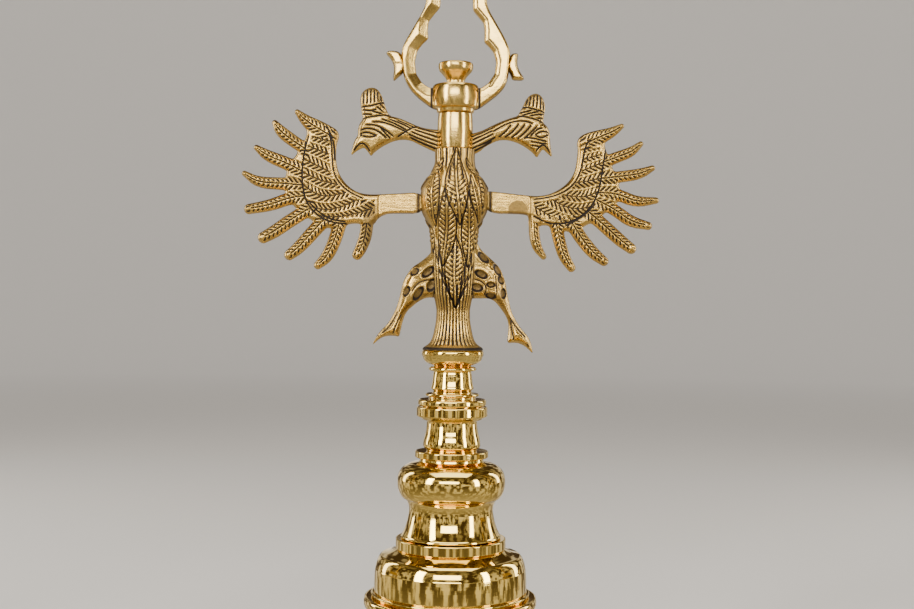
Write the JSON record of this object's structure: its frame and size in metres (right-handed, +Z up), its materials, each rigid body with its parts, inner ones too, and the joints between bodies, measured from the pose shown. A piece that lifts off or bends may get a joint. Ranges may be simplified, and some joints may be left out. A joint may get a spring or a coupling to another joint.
{
  "type": "balance scale",
  "caption": "Brass equal-arm balance on a turned column with a cast two-headed eagle, a swivelling lyre fork, a tilting beam and two chain-hung pans.",
  "frame": {"origin": "centre of the foot's underside", "axes": "+Z up along the column, +X along the beam at rest, front towards -Y"},
  "size_m": [0.6576, 0.16, 0.444],
  "materials": {
    "polished_brass": "polished",
    "cast_brass": "satin casting, dark patina in the grooves",
    "satin_brass": "satin",
    "dark_brass": "dark patina",
    "pin_steel": "ground"
  },
  "bodies": {
    "stand": {"foot_skirt": "polished_brass", "skirt_ring": "polished_brass", "base_dome": "polished_brass", "dome_cap_disc": "polished_brass", "baluster_bulb": "polished_brass", "bulb_cap_disc": "polished_brass", "lower_spool": "polished_brass", "lower_joint_disc": "polished_brass", "upper_joint_disc": "polished_brass", "lower_flange": "polished_brass", "upper_spool": "polished_brass", "upper_flange": "polished_brass", "tail_cup": "polished_brass", "tie_rod": "pin_steel", "rod_washer": "dark_brass", "rod_nut": "pin_steel", "eagle_torso": "cast_brass", "left_wing": "cast_brass", "right_wing": "cast_brass", "left_head": "cast_brass", "right_head": "cast_brass", "left_leg": "cast_brass", "right_leg": "cast_brass", "neck_post": "pin_steel", "neck_ferrule": "polished_brass", "finial_knob": "polished_brass"},
    "lyre": {"lyre_collar": "cast_brass", "lyre_left_arm": "cast_brass", "lyre_right_arm": "cast_brass", "left_crescent": "cast_brass", "right_crescent": "cast_brass", "yoke_block": "satin_brass", "front_cheek": "satin_brass", "rear_cheek": "satin_brass", "front_bush": "dark_brass", "rear_bush": "dark_brass", "cheek_screws": "pin_steel", "cheek_bridge": "satin_brass", "head_finial": "polished_brass"},
    "beam": {"balance_beam": "satin_brass", "centre_pin": "pin_steel", "pointer": "dark_brass", "left_end_pin": "pin_steel", "right_end_pin": "pin_steel"},
    "left_stirrup": {"left_stirrup": "satin_brass"},
    "right_stirrup": {"right_stirrup": "satin_brass"},
    "left_ring": {"left_joining_ring": "satin_brass"},
    "right_ring": {"right_joining_ring": "satin_brass"},
    "left_pan": {"left_hub": "satin_brass", "left_chains": "satin_brass", "left_pan": "satin_brass"},
    "right_pan": {"right_hub": "satin_brass", "right_chains": "satin_brass", "right_pan": "satin_brass"}
  },
  "joints": [
    {"name": "lyre_swivel", "type": "hinge", "parent": "stand", "child": "lyre", "pos_m": [0, 0, 0.2905], "axis": [0, 0, 1], "continuous": true},
    {"name": "beam_tilt", "type": "hinge", "parent": "lyre", "child": "beam", "pos_m": [0, 0, 0.398], "axis": [0, 1, 0], "range_deg": [-7, 7]},
    {"name": "left_stirrup_hinge", "type": "hinge", "parent": "beam", "child": "left_stirrup", "pos_m": [-0.28, 0, 0.395], "axis": [0, 1, 0], "range_deg": [-8, 8]},
    {"name": "left_ring_swing", "type": "hinge", "parent": "left_stirrup", "child": "left_ring", "pos_m": [-0.28, 0, 0.36745], "axis": [0, 1, 0], "range_deg": [-20, 20]},
    {"name": "left_pan_swing", "type": "hinge", "parent": "left_ring", "child": "left_pan", "pos_m": [-0.28, 0, 0.3579], "axis": [1, 0, 0], "range_deg": [-20, 20]},
    {"name": "right_stirrup_hinge", "type": "hinge", "parent": "beam", "child": "right_stirrup", "pos_m": [0.28, 0, 0.395], "axis": [0, 1, 0], "range_deg": [-8, 8]},
    {"name": "right_ring_swing", "type": "hinge", "parent": "right_stirrup", "child": "right_ring", "pos_m": [0.28, 0, 0.36745], "axis": [0, 1, 0], "range_deg": [-20, 20]},
    {"name": "right_pan_swing", "type": "hinge", "parent": "right_ring", "child": "right_pan", "pos_m": [0.28, 0, 0.3579], "axis": [1, 0, 0], "range_deg": [-20, 20]}
  ],
  "couplings": [
    {"joint": "left_stirrup_hinge", "follows": "beam_tilt", "ratio": -1},
    {"joint": "right_stirrup_hinge", "follows": "beam_tilt", "ratio": -1}
  ]
}
